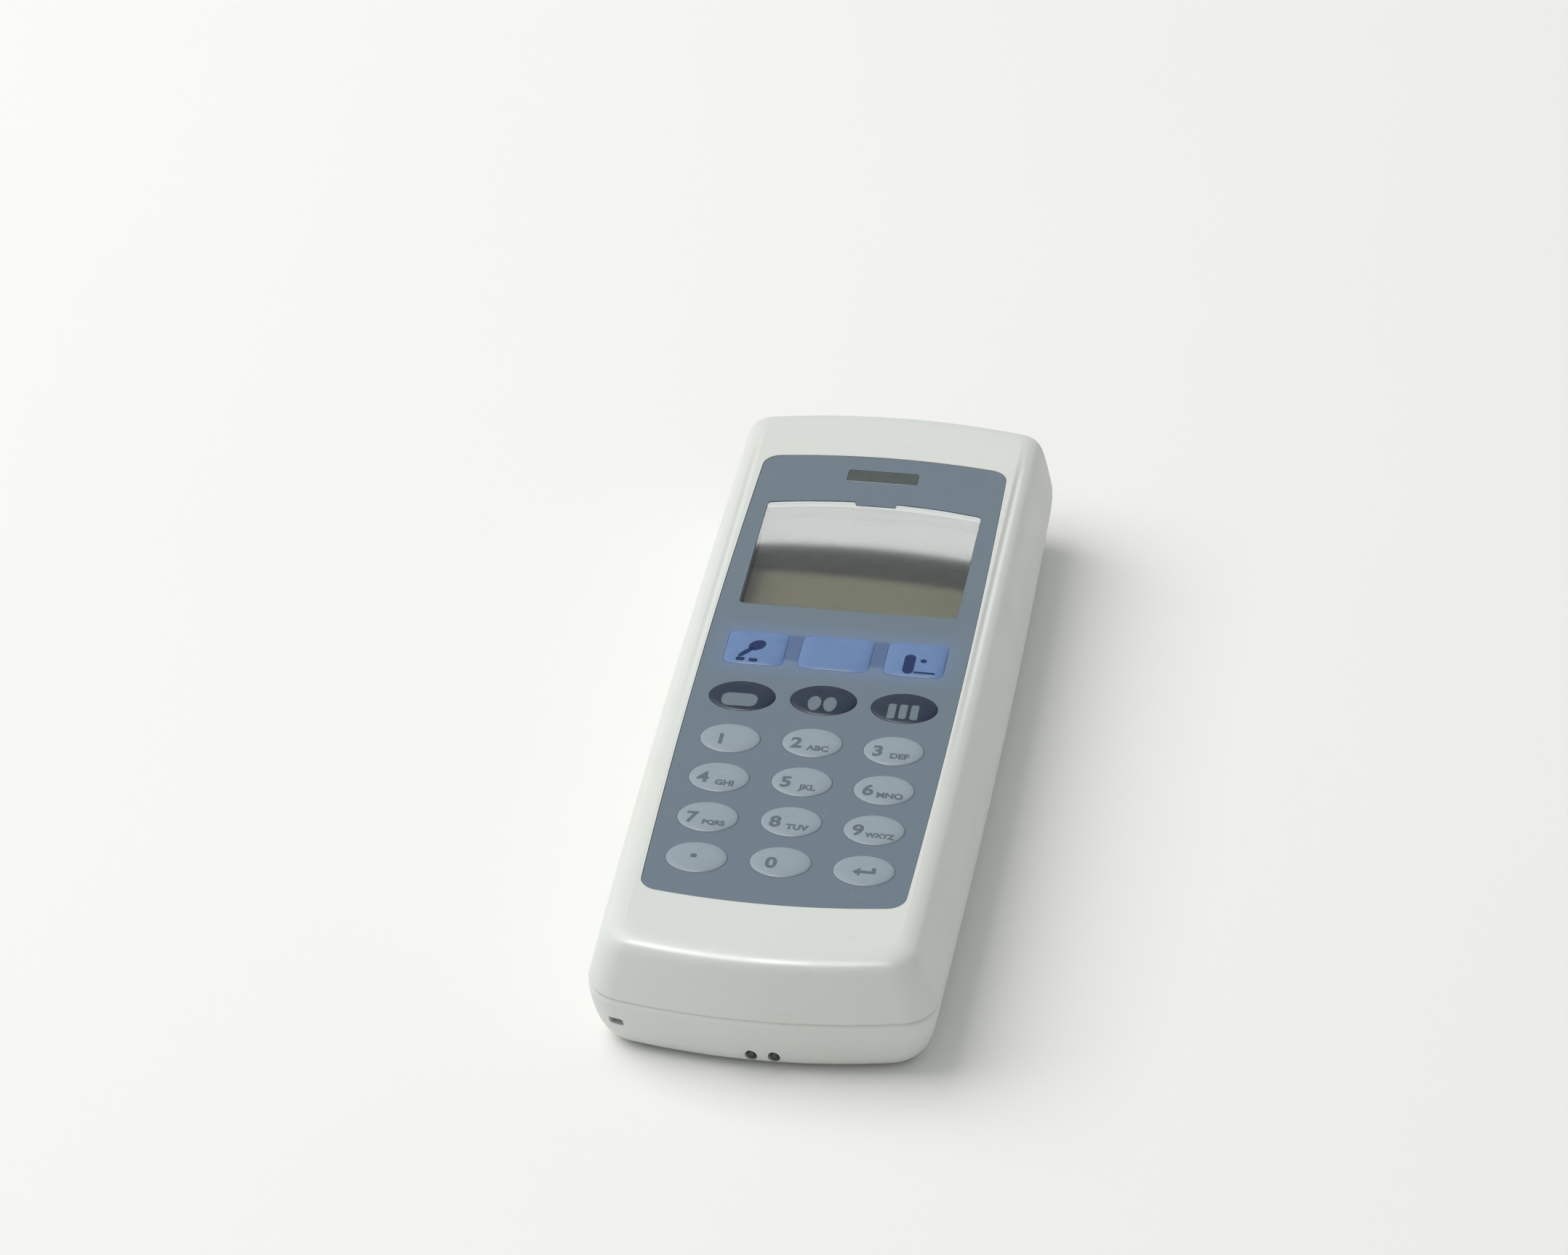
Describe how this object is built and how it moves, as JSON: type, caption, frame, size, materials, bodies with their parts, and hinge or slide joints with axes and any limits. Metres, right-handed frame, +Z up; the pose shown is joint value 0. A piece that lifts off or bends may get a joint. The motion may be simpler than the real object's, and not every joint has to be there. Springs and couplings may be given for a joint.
{
  "type": "handheld keypad terminal",
  "caption": "Handheld data terminal: off-white two-part case, blue-grey panel with recessed display, blue, dark and pale push keys, scan window at the head, battery cover underneath.",
  "frame": {"origin": "centre of the body's plan, on the plane its underside rests on", "axes": "+X to the user's right, +Y from the keypad end towards the head, +Z up out of the keypad face"},
  "size_m": [0.0576, 0.1629, 0.0234],
  "materials": {
    "shell": "fine satin moulded ABS, off-white",
    "panel": "printed satin overlay, blue-grey",
    "light_key": "satin pale grey keycap with printed legend",
    "dark_key": "satin navy keycap with pale legend",
    "blue_key": "translucent backlit blue keycap",
    "lens": "polished clear acrylic",
    "dark_lens": "dark translucent plastic",
    "scan_red": "dark red optical acrylic",
    "lcd": "reflective olive liquid crystal glass",
    "foam": "black closed-cell foam",
    "black": "black moulded plastic",
    "silicone": "grey silicone",
    "board": "green solder mask",
    "steel": "nickel-plated steel",
    "nickel": "tarnished nickel plating",
    "cell": "printed sleeve on a cylindrical cell",
    "lamp": "moulded lamp body"
  },
  "bodies": {
    "case": {"upper_shell": "shell", "lower_shell": "shell", "keypad_overlay": "panel", "display_lens": "lens", "indicator_lens": "dark_lens", "scan_window": "scan_red", "key_mat": "silicone", "main_board": "board", "lcd_tray": "black", "lcd_glass": "lcd", "display_gasket": "foam", "lcd_connector": "black", "indicator_lamp": "lamp", "function_lamp_left": "lamp", "function_lamp_middle": "lamp", "function_lamp_right": "lamp", "buzzer": "black", "backup_cell": "steel", "processor_chip": "black", "scan_engine": "black", "scan_lens": "lens", "scan_bracket": "steel", "cell_left": "cell", "cell_right": "cell", "cell_spring_left": "steel", "cell_spring_right": "steel", "contact_plate_left": "steel", "contact_plate_right": "steel", "charge_contact_left": "nickel", "charge_contact_right": "nickel", "case_screw_1": "steel", "case_screw_2": "steel", "case_screw_3": "steel", "case_screw_4": "steel"},
    "key_point_body": {"key_point": "light_key"},
    "key_0_body": {"key_0": "light_key"},
    "key_enter_body": {"key_enter": "light_key"},
    "key_7_body": {"key_7": "light_key"},
    "key_8_body": {"key_8": "light_key"},
    "key_9_body": {"key_9": "light_key"},
    "key_4_body": {"key_4": "light_key"},
    "key_5_body": {"key_5": "light_key"},
    "key_6_body": {"key_6": "light_key"},
    "key_1_body": {"key_1": "light_key"},
    "key_2_body": {"key_2": "light_key"},
    "key_3_body": {"key_3": "light_key"},
    "menu_key_left_body": {"menu_key_left": "dark_key"},
    "menu_key_middle_body": {"menu_key_middle": "dark_key"},
    "menu_key_right_body": {"menu_key_right": "dark_key"},
    "function_key_left_body": {"function_key_left": "blue_key"},
    "function_key_middle_body": {"function_key_middle": "blue_key"},
    "function_key_right_body": {"function_key_right": "blue_key"},
    "battery_door": {"battery_cover": "shell"}
  },
  "joints": [
    {"name": "key_point_press", "type": "slide", "parent": "case", "child": "key_point_body", "axis": [0, 0, -1], "range_m": [0, 0.0004]},
    {"name": "key_0_press", "type": "slide", "parent": "case", "child": "key_0_body", "axis": [0, 0, -1], "range_m": [0, 0.0004]},
    {"name": "key_enter_press", "type": "slide", "parent": "case", "child": "key_enter_body", "axis": [0, 0, -1], "range_m": [0, 0.0004]},
    {"name": "key_7_press", "type": "slide", "parent": "case", "child": "key_7_body", "axis": [0, 0, -1], "range_m": [0, 0.0004]},
    {"name": "key_8_press", "type": "slide", "parent": "case", "child": "key_8_body", "axis": [0, 0, -1], "range_m": [0, 0.0004]},
    {"name": "key_9_press", "type": "slide", "parent": "case", "child": "key_9_body", "axis": [0, 0, -1], "range_m": [0, 0.0004]},
    {"name": "key_4_press", "type": "slide", "parent": "case", "child": "key_4_body", "axis": [0, 0, -1], "range_m": [0, 0.0004]},
    {"name": "key_5_press", "type": "slide", "parent": "case", "child": "key_5_body", "axis": [0, 0, -1], "range_m": [0, 0.0004]},
    {"name": "key_6_press", "type": "slide", "parent": "case", "child": "key_6_body", "axis": [0, 0, -1], "range_m": [0, 0.0004]},
    {"name": "key_1_press", "type": "slide", "parent": "case", "child": "key_1_body", "axis": [0, 0, -1], "range_m": [0, 0.0004]},
    {"name": "key_2_press", "type": "slide", "parent": "case", "child": "key_2_body", "axis": [0, 0, -1], "range_m": [0, 0.0004]},
    {"name": "key_3_press", "type": "slide", "parent": "case", "child": "key_3_body", "axis": [0, 0, -1], "range_m": [0, 0.0004]},
    {"name": "menu_key_left_press", "type": "slide", "parent": "case", "child": "menu_key_left_body", "axis": [0, 0, -1], "range_m": [0, 0.0004]},
    {"name": "menu_key_middle_press", "type": "slide", "parent": "case", "child": "menu_key_middle_body", "axis": [0, 0, -1], "range_m": [0, 0.0004]},
    {"name": "menu_key_right_press", "type": "slide", "parent": "case", "child": "menu_key_right_body", "axis": [0, 0, -1], "range_m": [0, 0.0004]},
    {"name": "function_key_left_press", "type": "slide", "parent": "case", "child": "function_key_left_body", "axis": [0, 0, -1], "range_m": [0, 0.0004]},
    {"name": "function_key_middle_press", "type": "slide", "parent": "case", "child": "function_key_middle_body", "axis": [0, 0, -1], "range_m": [0, 0.0004]},
    {"name": "function_key_right_press", "type": "slide", "parent": "case", "child": "function_key_right_body", "axis": [0, 0, -1], "range_m": [0, 0.0004]},
    {"name": "battery_cover_lift_off", "type": "slide", "parent": "case", "child": "battery_door", "axis": [0, 0, -1], "range_m": [0, 0.02]}
  ]
}
